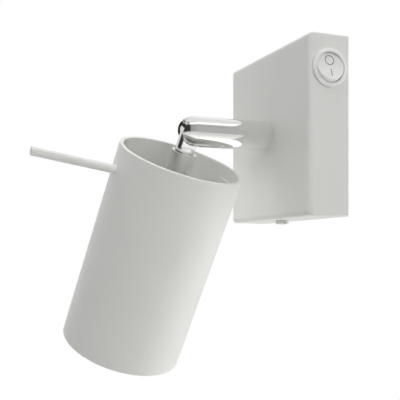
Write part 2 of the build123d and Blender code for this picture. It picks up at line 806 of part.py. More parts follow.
with BuildPart() as lamp_pins:
    with BuildSketch(head_at(lamp_base - pin_neck_length)):
        with GridLocations(2 * pin_circle_radius, 0, 2, 1):
            Circle(pin_neck_radius)
    extrude(amount=pin_neck_length)
    with BuildSketch(head_at(foot_top)):
        with GridLocations(2 * pin_circle_radius, 0, 2, 1):
            Circle(pin_foot_radius)
    extrude(amount=pin_foot_height)
lamp_pins.part.label = "lamp_pins"
export_step(lamp_pins.part, "parts/lamp_pins.step")

# ---------------------------------------------------------------- leads
# Pair of leads in the stem's bore, from below the hinge into the lampholder
with BuildPart() as head_leads:
    with BuildSketch(head_at(shoulder)):
        with GridLocations(lead_spacing, 0, 2, 1):
            Circle(lead_radius)
    extrude(amount=holder_top + holder_screw_depth - shoulder)
head_leads.part.label = "head_leads"
export_step(head_leads.part, "parts/head_leads.step")

# Pair of leads in the arm's bore
with BuildPart() as arm_leads:
    with BuildSketch(arm_at(thread_back)):
        with GridLocations(lead_spacing, 0, 2, 1):
            Circle(lead_radius)
    extrude(amount=slot_floor - thread_back)
arm_leads.part.label = "arm_leads"
export_step(arm_leads.part, "parts/arm_leads.step")

# Leads in the wall box: terminal block to switch, switch to arm, block to arm
tunnel_y = -(plate_sheet + block_height / 2)
tunnel_z = block_z + block_width / 2
blade_end = switch_plane.offset(-(switch_body_length + blade_length + lead_tip_gap)).origin
lower_blade = blade_end - switch_plane.y_dir * (blade_spacing / 2)
upper_blade = blade_end + switch_plane.y_dir * (blade_spacing / 2)
arm_lead = hinge_dir * (lead_spacing / 2)
bore_mouth_y = -(thread_back - lead_end_gap)

lead_routes = (
    (
        Vector(block_x - pole_pitch, tunnel_y, tunnel_z),
        Vector(block_x - pole_pitch, tunnel_y, lower_blade.Z),
        Vector((washer_radius + lower_blade.X) / 2, tunnel_y, lower_blade.Z),
        lower_blade,
    ),
    (
        upper_blade,
        Vector(arm_lead.X, upper_blade.Y, upper_blade.Z),
        Vector(arm_lead.X, tunnel_y, washer_radius),
        Vector(arm_lead.X, tunnel_y, arm_lead.Z),
        Vector(arm_lead.X, bore_mouth_y, arm_lead.Z),
    ),
    (
        Vector(block_x, tunnel_y, tunnel_z),
        Vector(block_x, tunnel_y, -arm_lead.Z),
        Vector(-arm_lead.X, tunnel_y, -arm_lead.Z),
        Vector(-arm_lead.X, bore_mouth_y, -arm_lead.Z),
    ),
)

lead_solids = []
for route in lead_routes:
    shortest = min((b - a).length for a, b in zip(route, route[1:]))
    bend = min(lead_bend, shortest * lead_bend_share)
    with BuildPart() as lead:
        with BuildLine() as lead_line:
            FilletPolyline(*route, radius=bend)
        start = lead_line.wires()[0]
        with BuildSketch(Plane(origin=start @ 0, z_dir=start % 0)):
            Circle(lead_radius)
        sweep()
    lead_solids.append(lead.part)

with BuildPart() as canopy_leads:
    for solid in lead_solids:
        add(solid)
canopy_leads.part.label = "canopy_leads"
export_step(canopy_leads.part, "parts/canopy_leads.step")
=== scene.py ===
"""A pivoting spotlight wall light: its finishes, its rocker, lamp and lens, and its studio.

Run as a script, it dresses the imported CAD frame. Its panel is in the 3D view's sidebar.
"""

import math

import bmesh
import bpy
from mathutils import Matrix, Vector


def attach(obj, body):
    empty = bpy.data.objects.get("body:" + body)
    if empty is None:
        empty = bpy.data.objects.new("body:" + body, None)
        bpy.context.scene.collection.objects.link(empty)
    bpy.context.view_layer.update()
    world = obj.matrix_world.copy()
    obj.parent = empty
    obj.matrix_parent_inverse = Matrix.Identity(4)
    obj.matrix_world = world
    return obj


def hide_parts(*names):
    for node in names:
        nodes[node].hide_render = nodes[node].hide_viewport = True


bl_info = {
    "name": "Pivoting Spotlight Wall Light",
    "version": (1, 0, 0),
    "blender": (4, 5, 0),
    "location": "View3D > Sidebar > Spotlight",
    "description": "Finishes, rocker, lamp and studio of a pivoting spotlight wall light",
    "category": "Object",
}

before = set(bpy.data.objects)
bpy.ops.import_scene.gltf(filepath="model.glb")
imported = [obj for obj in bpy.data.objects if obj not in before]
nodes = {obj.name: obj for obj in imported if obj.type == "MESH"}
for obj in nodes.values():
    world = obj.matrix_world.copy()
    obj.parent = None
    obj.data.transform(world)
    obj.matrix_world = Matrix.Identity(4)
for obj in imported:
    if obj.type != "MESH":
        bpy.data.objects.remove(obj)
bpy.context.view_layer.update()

MM = 0.001

# ---------------------------------------------------------------- places, as in the CAD
ARM_TURN = math.radians(25.0)
HEAD_TILT = math.radians(80.2)
HINGE = Vector((0.0, -59.0, 0.0)) * MM
HINGE_DIR = Vector((math.cos(ARM_TURN), 0.0, -math.sin(ARM_TURN)))
DROP_DIR = Vector((-math.sin(ARM_TURN), 0.0, -math.cos(ARM_TURN)))
BEAM_DIR = Vector((0.0, -math.cos(HEAD_TILT), 0.0)) + DROP_DIR * math.sin(HEAD_TILT)

# the slot's bounds: inside them the walls are dull and painted dark, as painted shade
SLOT_WIDTH = 7.2 * MM
SLOT_FLOOR = 5.0 * MM  # behind the hinge axis
SLOT_DULL_TOP = 3.2 * MM  # above the hinge axis; the walls are bright past it
SLOT_MARGIN = 0.03 * MM  # so that the walls themselves count as inside the slot
SLOT_ROUGHNESS = 0.5
COLLAR_TOP = 9.9 * MM  # below the hinge axis, along the stem
COLLAR_BLEND = 0.2 * MM  # from bright to satin
COLLAR_ROUGHNESS = 0.42

SWITCH_CENTRE = Vector((40.0, -10.0, 24.8)) * MM
SWITCH_TURN = math.radians(3.0)
ROCKER_LEAN = math.radians(14.0)
ROCKER_PIVOT = SWITCH_CENTRE - Vector((1.0, 0.0, 0.0)) * MM
TRUNNION_RADIUS = 1.0 * MM
TRUNNION_SPAN = 14.5 * MM
MARK_DEPTH = 0.05 * MM
# the marks' grey is painted shade in their grooves
MARK_EDGE = (0.35, 0.65)  # where a mark's paint fades out, in widths of its line
SWITCH_X = Vector((0.0, math.cos(SWITCH_TURN), math.sin(SWITCH_TURN)))
SWITCH_Y = Vector((0.0, -math.sin(SWITCH_TURN), math.cos(SWITCH_TURN)))
ROCKER_Z = Vector((math.cos(ROCKER_LEAN), 0.0, 0.0)) + SWITCH_Y * math.sin(ROCKER_LEAN)


def frame_matrix(origin, x_dir, z_dir):
    """The matrix that takes a piece's own x, y and z to these directions, at origin."""
    y_dir = z_dir.cross(x_dir)
    turn = Matrix((x_dir, y_dir, z_dir)).transposed().to_4x4()
    return Matrix.Translation(origin) @ turn


ROCKER_FRAME = frame_matrix(ROCKER_PIVOT, SWITCH_X, ROCKER_Z)
HEAD_FRAME = frame_matrix(HINGE, HINGE_DIR, BEAM_DIR)


# ---------------------------------------------------------------- sizes and colours
def length(name, description, default):
    """A length property, in metres."""
    return bpy.props.FloatProperty(
        name=name, description=description, default=default, min=0.0, precision=5, unit="LENGTH"
    )


def share(name, description, default):
    """A property from 0 to 1."""
    return bpy.props.FloatProperty(
        name=name, description=description, default=default, min=0.0, max=1.0, subtype="FACTOR"
    )


def hex_colour(name, description, default):
    """A colour property, an sRGB hex value."""
    return bpy.props.StringProperty(name=name, description=description, default=default)


class SpotlightFinishes(bpy.types.PropertyGroup):
    """Colours and gloss of the light's finishes."""

    coat: hex_colour("Powder coat", "Colour of the wall box and the shade", "#E9E9E6")
    coat_roughness: share("Coat roughness", "Gloss of the satin powder coat", 0.46)
    chrome: hex_colour("Chrome", "Colour of the bright chrome plate", "#F3F4F1")
    chrome_roughness: share("Chrome roughness", "Haze of the chrome plate", 0.035)
    # painted shade: the dark colour painted on the hinge slot's walls
    slot: hex_colour("Hinge slot", "Colour of the milled slot's dull walls", "#3C3D3F")
    switch: hex_colour("Switch", "Colour of the switch's moulded plastic", "#F5F5F2")
    # painted shade: the grey painted in the O's and the I's grooves
    mark: hex_colour("Switch marks", "Colour of the O and the I", "#55575A")
    zinc: hex_colour("Zinc plate", "Colour of the zinc plated steel", "#B9BCBE")
    brass: hex_colour("Brass", "Colour of the brass contacts", "#CFA968")
    ceramic: hex_colour("Steatite", "Colour of the lampholder", "#ECE7DA")


class SpotlightRocker(bpy.types.PropertyGroup):
    """Sizes of the round rocker and its two marks."""

    drum_radius: length("Drum radius", "Radius of the round rocker", 6.78 * MM)
    rise: length("Rise", "Rocker's face above its axis", 2.54 * MM)
    height: length("Height", "Height of the rocker", 4.6 * MM)
    edge: length("Edge radius", "Rounding of the rocker's edge", 0.3 * MM)
    dish: length("Dish", "Depth of the finger dish in the face", 0.22 * MM)
    ring_radius: length("Ring radius", "Middle of the O's line", 2.1 * MM)
    ring_place: length("Ring place", "O's centre above the middle of the face", 2.7 * MM)
    bar_length: length("Bar length", "Length of the I", 3.3 * MM)
    bar_place: length("Bar place", "I's centre below the middle of the face", 3.1 * MM)
    line: length("Line width", "Width of both marks' lines", 0.36 * MM)


class SpotlightLamp(bpy.types.PropertyGroup):
    """Sizes of the spot lamp and its lens."""

    face: length("Face", "Hinge axis to the lamp's face", 101.9 * MM)
    lens_radius: length("Lens radius", "Radius of the lens", 22.5 * MM)
    lens_thickness: length("Lens thickness", "Thickness of the lens", 1.2 * MM)
    lens_inset: length("Lens inset", "Lens below the lamp's rim", 0.5 * MM)
    ring_pitch: length("Ring pitch", "Width of one ring of the lens", 1.5 * MM)
    ring_depth: length("Ring depth", "Depth of the rings on the lens's inner face", 0.22 * MM)


class SpotlightStudio(bpy.types.PropertyGroup):
    """Camera, floor and lamps."""

    lens: bpy.props.FloatProperty(
        name="Lens", description="Focal length of the camera", default=70.0, unit="CAMERA"
    )
    turn: bpy.props.FloatProperty(
        name="Turn",
        description="Camera's turn from looking along +Y",
        default=math.radians(67.64),
        subtype="ANGLE",
    )
    floor_drop: length("Floor drop", "Middle of the wall box to the floor", 0.9)
    floor_size: length("Floor size", "Width of the square floor", 6.0)


# ---------------------------------------------------------------- studio levels
WHITE = (1.0, 1.0, 1.0, 1.0)
CAMERA_PLACE = Vector((0.3330, -0.1915, -0.05865))
CAMERA_SENSOR = 36.0
CAMERA_SHIFT = 0.1466
CAMERA_NEAR = 0.01
LAMP_AIM = Vector((-0.01, -0.06, -0.03))
LAMP_DISTANCE = 1.2
LAMP_WIDTH = 0.9
# name, azimuth from +X, elevation and power in watts
LAMPS = (
    ("lamp_wall_low", 90.0, -45.0, 10.4),
    ("lamp_left", 180.0, 0.0, 7.0),
    ("lamp_wall_high", 90.0, 60.0, 5.4),
    ("lamp_front_left_high", 225.0, 60.0, 3.6),
    ("lamp_wall", 90.0, 0.0, 4.2),
    ("lamp_right", 0.0, 0.0, 3.6),
    ("lamp_front_right_high", 315.0, 60.0, 3.3),
    ("lamp_front_left_low", 225.0, -45.0, 3.0),
    ("lamp_right_high", 0.0, 30.0, 2.6),
    ("lamp_front_left", 225.0, 30.0, 2.5),
    ("lamp_front_right", 315.0, 30.0, 2.0),
)
WORLD_LIGHT = 0.05
FLOOR_SEEN = 0.9
FLOOR_MIRRORED = 0.6
RING_BLEND = 0.02  # either side of a ring's lower edge
# What mirrors see beside the object, ring by ring from the floor up: the ring's lower edge as
# the sine of its elevation, and its levels, each from an azimuth on.
MIRROR_RINGS = (
    (-1.0, ((-180, 0.8),)),
    (-0.21, ((-180, 0.56), (-128, 0.56), (-124, 0.32), (-38, 0.32), (-30, 0.48), (180, 0.56))),
    (-0.10, ((-180, 0.7), (-130, 0.7), (-122, 0.04), (-42, 0.04), (-32, 0.33), (-15, 0.36),
             (25, 0.46), (60, 0.5), (120, 0.7), (180, 0.7))),
    (0.47, ((-180, 0.7), (-172, 0.56), (-164, 0.04), (-46, 0.04), (-36, 0.33), (-15, 0.36),
            (25, 0.43), (50, 0.5), (100, 0.75), (150, 0.95), (180, 0.75))),
    (0.71, ((-180, 0.65), (-60, 0.65), (-52, 1.15), (72, 1.15), (90, 0.9), (180, 0.9))),
    (0.87, ((-180, 0.8),)),
)


# ---------------------------------------------------------------- materials
TEXTURE_SPAN = (0.3, 0.7)  # noise seldom leaves it, so the patches run from end to end


def linear(hex_value):
    """An sRGB hex value as linear red, green, blue and alpha."""
    parts = [int(hex_value[i : i + 2], 16) / 255 for i in (1, 3, 5)]
    return [p / 12.92 if p <= 0.04045 else ((p + 0.055) / 1.055) ** 2.4 for p in parts] + [1.0]


def add_node(tree, kind, inputs=None, **settings):
    """Adds a node; inputs maps its sockets to values, or to the sockets that feed them."""
    node = tree.nodes.new(kind)
    for name, value in settings.items():
        setattr(node, name, value)
    for name, value in (inputs or {}).items():
        if isinstance(value, bpy.types.NodeSocket):
            tree.links.new(value, node.inputs[name])
        else:
            node.inputs[name].default_value = value
    return node


def shade(colour_hex, step):
    """The same colour, a little lighter or darker, as linear values."""
    return [min(1.0, c * (1.0 + step)) for c in linear(colour_hex)[:3]] + [1.0]


def finish(
    name, colours, roughness, patch_mm, relief=None, texture="ShaderNodeTexNoise", sockets=None
):
    """A finish. Patches of one size take its colour and its roughness from one value to
    another. Relief is a grain's size and depth in mm, and sockets are the values that are
    the same all over."""
    material = bpy.data.materials.new(name)
    material.use_nodes = True
    tree = material.node_tree
    tree.nodes.clear()
    place = add_node(tree, "ShaderNodeTexCoord").outputs["Object"]
    shader = add_node(tree, "ShaderNodeBsdfPrincipled")
    add_node(tree, "ShaderNodeOutputMaterial", {"Surface": shader.outputs["BSDF"]})
    for socket, value in (sockets or {}).items():
        shader.inputs[socket].default_value = value
    patches = add_node(tree, texture, {"Vector": place, "Scale": 1.0 / (patch_mm * MM)})
    share_of_patch = add_node(
        tree, "ShaderNodeMapRange",
        {"Value": patches.outputs["Color"], "From Min": TEXTURE_SPAN[0],
         "From Max": TEXTURE_SPAN[1]},
    ).outputs[0]
    first, second = colours
    if first == second:
        shader.inputs["Base Color"].default_value = first
    else:
        colour = add_node(
            tree, "ShaderNodeMix", {"Factor": share_of_patch, 6: first, 7: second},
            data_type="RGBA",
        ).outputs[2]
        tree.links.new(colour, shader.inputs["Base Color"])
    gloss = add_node(
        tree, "ShaderNodeMapRange",
        {"Value": share_of_patch, "To Min": roughness[0], "To Max": roughness[1]},
    ).outputs[0]
    tree.links.new(gloss, shader.inputs["Roughness"])
    if relief:
        grain_mm, depth_mm = relief
        grain = add_node(
            tree, "ShaderNodeTexNoise", {"Vector": place, "Scale": 1.0 / (grain_mm * MM)}
        ).outputs[0]
        normal = add_node(
            tree, "ShaderNodeBump", {"Height": grain, "Distance": depth_mm * MM}
        ).outputs[0]
        tree.links.new(normal, shader.inputs["Normal"])
    return material


def opened(material):
    """A material's tree, its Object coordinates and its surface shader."""
    tree = material.node_tree
    place = next(n for n in tree.nodes if n.type == "TEX_COORD").outputs["Object"]
    return tree, place, next(n for n in tree.nodes if n.type == "BSDF_PRINCIPLED")


def powder_coat(name, colour, roughness, peel=(0.9, 0.007)):
    """Satin polyester powder coat, sprayed dry and baked: a soft sheen over a very fine
    orange peel of about 0.9 mm, and a broad, barely seen change of film thickness."""
    return finish(
        name, (shade(colour, -0.012), shade(colour, 0.012)),
        (roughness - 0.03, roughness + 0.03), 22.0, peel,
    )


def bright_chrome(name, colour, roughness):
    """Bright chrome over nickel on turned brass: a mirror with a trace of polishing haze in
    patches of about 6 mm. Its polishing lines are too fine to see and aren't drawn."""
    return finish(
        name, (linear(colour), linear(colour)), (roughness * 0.7, roughness * 1.5), 6.0,
        sockets={"Metallic": 1.0},
    )


def slotted_chrome(name, colour, roughness, slot_shade_colour):
    """The barrel's bright chrome, and the milled slot in its end, which plating and polish
    don't reach: dull walls round the stem's tongue, painted dark as painted shade in the slot."""
    material = bright_chrome(name, colour, roughness)
    tree, place, shader = opened(material)
    hinge_frame = frame_matrix(HINGE, HINGE_DIR, -DROP_DIR)
    local = add_node(
        tree, "ShaderNodeMapping",
        {"Vector": place, "Location": HINGE, "Rotation": hinge_frame.to_euler()},
        vector_type="TEXTURE",
    ).outputs[0]
    parts = add_node(tree, "ShaderNodeSeparateXYZ", {0: local}).outputs
    across = add_node(tree, "ShaderNodeMath", {0: parts["X"]}, operation="ABSOLUTE").outputs[0]
    inside = 1.0
    for along, wall in (
        (across, SLOT_WIDTH / 2), (parts["Y"], SLOT_FLOOR), (parts["Z"], SLOT_DULL_TOP),
    ):
        within = add_node(
            tree, "ShaderNodeMath", {0: along, 1: wall + SLOT_MARGIN}, operation="LESS_THAN"
        )
        inside = add_node(
            tree, "ShaderNodeMath", {0: within.outputs[0], 1: inside}, operation="MULTIPLY"
        ).outputs[0]
    haze = shader.inputs["Roughness"].links[0].from_socket
    dull = add_node(
        tree, "ShaderNodeMapRange", {"Value": inside, "To Min": haze, "To Max": SLOT_ROUGHNESS}
    ).outputs[0]
    tree.links.new(dull, shader.inputs["Roughness"])
    # painted shade: the slot's walls take the dark colour
    tone = add_node(
        tree, "ShaderNodeMix", {"Factor": inside, 6: linear(colour), 7: linear(slot_shade_colour)},
        data_type="RGBA",
    ).outputs[2]
    tree.links.new(tone, shader.inputs["Base Color"])
    return material


def stem_chrome(name, colour, roughness):
    """The stem's chrome: polished on its tongue and neck, and satin from the collar down, so
    that there it only takes the tone of the shade round it."""
    material = bright_chrome(name, colour, roughness)
    tree, place, shader = opened(material)
    local = add_node(
        tree, "ShaderNodeMapping",
        {"Vector": place, "Location": HINGE, "Rotation": HEAD_FRAME.to_euler()},
        vector_type="TEXTURE",
    ).outputs[0]
    along = add_node(tree, "ShaderNodeSeparateXYZ", {0: local}).outputs["Z"]
    haze = shader.inputs["Roughness"].links[0].from_socket
    satin = add_node(
        tree, "ShaderNodeMapRange",
        {"Value": along, "From Min": COLLAR_TOP, "From Max": COLLAR_TOP + COLLAR_BLEND,
         "To Min": haze, "To Max": COLLAR_ROUGHNESS},
    ).outputs[0]
    tree.links.new(satin, shader.inputs["Roughness"])
    return material


def zinc_plate(name, colour):
    """Bright zinc plated sheet and turned steel: a grey mirror broken up by crystal patches
    of about 2.5 mm and by a rolled grain of 0.4 mm."""
    return finish(
        name, (shade(colour, -0.1), shade(colour, 0.08)), (0.24, 0.42), 2.5, (0.4, 0.003),
        texture="ShaderNodeTexVoronoi", sockets={"Metallic": 1.0},
    )


def stamped_brass(name, colour):
    """Stamped brass: a warm, dull metal with faint tarnish in patches of about 3 mm."""
    return finish(
        name, (shade(colour, -0.18), shade(colour, 0.06)), (0.22, 0.4), 3.0,
        sockets={"Metallic": 1.0},
    )


def moulded_plastic(name, colour, roughness, ior=1.54):
    """Injection moulded plastic from a spark eroded tool: an even satin face whose fine
    grain, drawn coarse enough to show, only softens its highlights. Light goes a little way
    in, so its edges are soft."""
    return finish(
        name, (shade(colour, -0.01), shade(colour, 0.01)),
        (roughness - 0.03, roughness + 0.04), 9.0, (0.35, 0.002),
        sockets={
            "IOR": ior,
            "Subsurface Weight": 0.6,
            "Subsurface Radius": (1.0, 1.0, 0.9),
            "Subsurface Scale": 2.5 * MM,
        },
    )


def marked_plastic(name, colour, roughness, mark_shade_colour, sizes):
    """The rocker's moulded plastic, with an O and an I engraved in its face: thin lines that
    lie a little below the surface, painted grey as painted shade in their grooves."""
    material = moulded_plastic(name, colour, roughness)
    tree, place, shader = opened(material)
    local = add_node(
        tree, "ShaderNodeMapping",
        {"Vector": place, "Location": ROCKER_PIVOT, "Rotation": ROCKER_FRAME.to_euler()},
        vector_type="TEXTURE",
    ).outputs[0]
    flat = add_node(
        tree, "ShaderNodeVectorMath", {0: local, 1: (1.0, 1.0, 0.0)}, operation="MULTIPLY"
    ).outputs[0]
    # distance to the O's line
    centre = (0.0, sizes.ring_place, 0.0)
    radius = add_node(
        tree, "ShaderNodeVectorMath", {0: flat, 1: centre}, operation="DISTANCE"
    ).outputs["Value"]
    off_ring = add_node(
        tree, "ShaderNodeMath", {0: radius, 1: sizes.ring_radius}, operation="SUBTRACT"
    ).outputs[0]
    ring = add_node(tree, "ShaderNodeMath", {0: off_ring}, operation="ABSOLUTE").outputs[0]
    # distance to the I's line: the nearest point of the line has its height held to the bar
    parts = add_node(tree, "ShaderNodeSeparateXYZ", {0: flat}).outputs
    nearest = add_node(
        tree, "ShaderNodeClamp",
        {"Value": parts["Y"], "Min": -sizes.bar_place - sizes.bar_length / 2,
         "Max": -sizes.bar_place + sizes.bar_length / 2},
    ).outputs[0]
    on_bar = add_node(tree, "ShaderNodeCombineXYZ", {"Y": nearest}).outputs[0]
    bar = add_node(
        tree, "ShaderNodeVectorMath", {0: flat, 1: on_bar}, operation="DISTANCE"
    ).outputs["Value"]
    line = add_node(tree, "ShaderNodeMath", {0: ring, 1: bar}, operation="MINIMUM").outputs[0]
    mark = add_node(
        tree, "ShaderNodeMapRange",
        {"Value": line, "From Min": sizes.line * MARK_EDGE[0],
         "From Max": sizes.line * MARK_EDGE[1], "To Min": 1.0, "To Max": 0.0},
    ).outputs[0]
    moulded = shader.inputs["Base Color"].links[0].from_socket
    # painted shade: the marks' grooves are painted grey
    tone = add_node(
        tree, "ShaderNodeMix", {"Factor": mark, 6: moulded, 7: linear(mark_shade_colour)},
        data_type="RGBA",
    ).outputs[2]
    tree.links.new(tone, shader.inputs["Base Color"])
    level = add_node(tree, "ShaderNodeMath", {0: 1.0, 1: mark}, operation="SUBTRACT").outputs[0]
    engraved = add_node(
        tree, "ShaderNodeBump", {"Height": level, "Distance": MARK_DEPTH}
    ).outputs[0]
    tree.links.new(engraved, shader.inputs["Normal"])
    return material


def nitrile_rubber(name):
    """Moulded black nitrile rubber: matt, with a dusty bloom in patches of about 4 mm."""
    return finish(name, (linear("#171717"), linear("#2C2C2B")), (0.5, 0.75), 4.0)


def steatite(name, colour):
    """Pressed and glazed steatite: a warm white ceramic, slightly wavy under its glaze, with
    faint specks of about 0.5 mm."""
    return finish(
        name, (linear(colour), shade(colour, -0.1)), (0.18, 0.3), 0.5, (5.0, 0.015),
        sockets={"IOR": 1.6},
    )


def glass_braid(name):
    """Silicone leads in a braided glass sleeve: off-white and matt, with the sleeve's braid
    drawn as checks of 0.7 mm."""
    return finish(
        name, (linear("#D3D0C6"), linear("#EAE7DE")), (0.55, 0.65), 0.7,
        texture="ShaderNodeTexChecker",
    )


def pressed_glass(name):
    """The lamp's pressed glass cover: clear, its rings spreading what is behind it, with the
    slight unevenness that pressing leaves."""
    clear = linear("#F4F7F5")
    return finish(
        name, (clear, clear), (0.02, 0.08), 3.0, (3.0, 0.006),
        sockets={"Transmission Weight": 1.0, "IOR": 1.5},
    )


def dress(node_names, material):
    """Gives the CAD nodes this material."""
    for name in node_names:
        slots = nodes[name].material_slots
        if not slots:
            raise RuntimeError(f"{name} has no material slot to dress")
        for slot in slots:
            slot.link = "DATA"
            slot.material = material


# ---------------------------------------------------------------- new pieces
SHARP_ANGLE = math.radians(35.0)
MERGE_DISTANCE = 0.0005 * MM
SPIN_STEPS = 128
TRUNNION_SIDES = 32


def finish_piece(mesh_maker, name, matrix, material, body, node):
    """Closes a bmesh into a piece whose place is in its mesh, and hangs it on its body."""
    bmesh.ops.transform(mesh_maker, matrix=matrix, verts=mesh_maker.verts)
    bmesh.ops.recalc_face_normals(mesh_maker, faces=mesh_maker.faces)
    mesh = bpy.data.meshes.new(name)
    mesh_maker.to_mesh(mesh)
    mesh_maker.free()
    if not mesh.polygons:
        raise RuntimeError(f"{name} came out empty")
    mesh.materials.append(material)
    mesh.set_sharp_from_angle(angle=SHARP_ANGLE)
    piece = bpy.data.objects.new(name, mesh)
    bpy.context.scene.collection.objects.link(piece)
    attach(piece, body)
    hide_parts(node)


def steps(first, last, count):
    """Evenly spaced numbers from first to last, both included."""
    return [first + (last - first) * i / count for i in range(count + 1)]


def spun(profile):
    """A solid turned about z from a profile of (radius, height) points, given bottom first."""
    shape = bmesh.new()
    points = [shape.verts.new((radius, 0.0, height)) for radius, height in profile]
    edges = [shape.edges.new(pair) for pair in zip(points, points[1:])]
    bmesh.ops.spin(
        shape, geom=points + edges, cent=(0, 0, 0), axis=(0, 0, 1), dvec=(0, 0, 0),
        angle=math.tau, steps=SPIN_STEPS, use_merge=True, use_normal_flip=False,
        use_duplicate=False,
    )
    bmesh.ops.remove_doubles(shape, verts=shape.verts, dist=MERGE_DISTANCE)
    return shape


class SPOTLIGHT_OT_studio(bpy.types.Operator):
    """Set the camera, the pale floor and the soft lamps"""

    bl_idname = "spotlight.studio"
    bl_label = "Studio"

    def execute(self, context):
        sizes = context.scene.spotlight_studio
        scene = context.scene
        scene.view_settings.view_transform = "Standard"
        self.set_camera(scene, sizes)
        self.lay_floor(scene, sizes)
        self.hang_lamps(scene)
        self.light_world(scene)
        return {"FINISHED"}

    def set_camera(self, scene, sizes):
        camera = bpy.data.objects.new("studio_camera", bpy.data.cameras.new("studio_camera"))
        scene.collection.objects.link(camera)
        camera.location = CAMERA_PLACE
        camera.rotation_euler = (math.pi / 2, 0.0, sizes.turn)
        camera.data.sensor_width = CAMERA_SENSOR
        camera.data.lens = sizes.lens
        camera.data.shift_y = CAMERA_SHIFT
        camera.data.clip_start = CAMERA_NEAR
        scene.camera = camera

    def lay_floor(self, scene, sizes):
        shape = bmesh.new()
        bmesh.ops.create_grid(shape, x_segments=1, y_segments=1, size=sizes.floor_size / 2)
        bmesh.ops.translate(shape, verts=shape.verts, vec=(0.0, 0.0, -sizes.floor_drop))
        mesh = bpy.data.meshes.new("studio_floor")
        shape.to_mesh(mesh)
        shape.free()
        floor = bpy.data.objects.new("studio_floor", mesh)
        scene.collection.objects.link(floor)
        # plain pale paint, rolled on: matt, with a faint stipple of 3 mm
        paint = finish(
            "pale_painted_floor", (linear("#E4E4E2"), linear("#E8E8E6")), (0.85, 0.95), 40.0,
            (3.0, 0.05),
        )
        mesh.materials.append(paint)
        tree, _, shader = opened(paint)
        # white to the eye and through glass, and less so in mirrors; it keeps its shadows
        path = add_node(tree, "ShaderNodeLightPath").outputs
        strength = 0.0
        for ray, level in (
            ("Is Camera Ray", FLOOR_SEEN),
            ("Is Glossy Ray", FLOOR_MIRRORED),
            ("Is Transmission Ray", FLOOR_SEEN),
        ):
            strength = add_node(
                tree, "ShaderNodeMath", {0: path[ray], 1: level, 2: strength},
                operation="MULTIPLY_ADD",
            ).outputs[0]
        tree.links.new(strength, shader.inputs["Emission Strength"])
        shader.inputs["Emission Color"].default_value = WHITE

    def hang_lamps(self, scene):
        for name, azimuth, elevation, power in LAMPS:
            light = bpy.data.lights.new(name, "AREA")
            light.shape = "DISK"
            light.size = LAMP_WIDTH
            light.energy = power
            lamp = bpy.data.objects.new(name, light)
            scene.collection.objects.link(lamp)
            a, e = math.radians(azimuth), math.radians(elevation)
            away = Vector((math.cos(e) * math.cos(a), math.cos(e) * math.sin(a), math.sin(e)))
            lamp.location = LAMP_AIM + away * LAMP_DISTANCE
            lamp.rotation_mode = "QUATERNION"
            lamp.rotation_quaternion = away.to_track_quat("Z", "Y")
            lamp.visible_camera = False
            lamp.visible_glossy = False

    def light_world(self, scene):
        """Soft even light, and for mirrors a plain studio: white ceiling, grey walls and one
        dark opening."""
        world = bpy.data.worlds.new("studio_world")
        scene.world = world
        world.use_nodes = True
        tree = world.node_tree
        tree.nodes.clear()
        direction = add_node(tree, "ShaderNodeTexCoord").outputs["Generated"]
        parts = add_node(tree, "ShaderNodeSeparateXYZ", {0: direction}).outputs
        angle = add_node(
            tree, "ShaderNodeMath", {0: parts["Y"], 1: parts["X"]}, operation="ARCTAN2"
        ).outputs[0]
        turn = add_node(
            tree, "ShaderNodeMapRange",
            {"Value": angle, "From Min": -math.pi, "From Max": math.pi},
        ).outputs[0]
        mirrored = None
        for start, levels in MIRROR_RINGS:
            ramp = add_node(tree, "ShaderNodeValToRGB", {"Fac": turn})
            stops = ramp.color_ramp.elements
            stops.remove(stops[1])
            for i, (azimuth, level) in enumerate(levels):
                stop = stops.new(azimuth / 360.0 + 0.5) if i else stops[0]
                stop.position = azimuth / 360.0 + 0.5
                stop.color = (level,) * 3 + (1.0,)
            ring = ramp.outputs["Color"]
            if mirrored:
                inside = add_node(
                    tree, "ShaderNodeMapRange",
                    {"Value": parts["Z"], "From Min": start - RING_BLEND,
                     "From Max": start + RING_BLEND},
                ).outputs[0]
                ring = add_node(
                    tree, "ShaderNodeMix", {"Factor": inside, 6: mirrored, 7: ring},
                    data_type="RGBA",
                ).outputs[2]
            mirrored = ring
        path = add_node(tree, "ShaderNodeLightPath").outputs
        even = (WORLD_LIGHT,) * 3 + (1.0,)
        colour = add_node(
            tree, "ShaderNodeMix", {"Factor": path["Is Glossy Ray"], 6: even, 7: mirrored},
            data_type="RGBA",
        ).outputs[2]
        straight = add_node(
            tree, "ShaderNodeMath",
            {0: path["Is Camera Ray"], 1: path["Is Transmission Ray"]}, operation="MAXIMUM",
        ).outputs[0]
        colour = add_node(
            tree, "ShaderNodeMix", {"Factor": straight, 6: colour, 7: WHITE},
            data_type="RGBA",
        ).outputs[2]
        background = add_node(tree, "ShaderNodeBackground", {"Color": colour}).outputs[0]
        add_node(tree, "ShaderNodeOutputWorld", {"Surface": background})


class SPOTLIGHT_OT_painted_steel(bpy.types.Operator):
    """Powder coat the wall box, its screws, the shade and the aiming rod"""

    bl_idname = "spotlight.painted_steel"
    bl_label = "Painted steel"

    def execute(self, context):
        colours = context.scene.spotlight_finishes
        box_coat = powder_coat("powder_coat_box", colours.coat, colours.coat_roughness)
        shade_coat = powder_coat("powder_coat_shade", colours.coat, colours.coat_roughness)
        dress(("canopy_box", "cover_screws"), box_coat)
        # the thin rod has the same coat without its peel
        rod_coat = powder_coat("powder_coat_rod", colours.coat, colours.coat_roughness, None)
        dress(("shade_tube", "shade_bracket"), shade_coat)
        dress(("aiming_rod",), rod_coat)
        return {"FINISHED"}


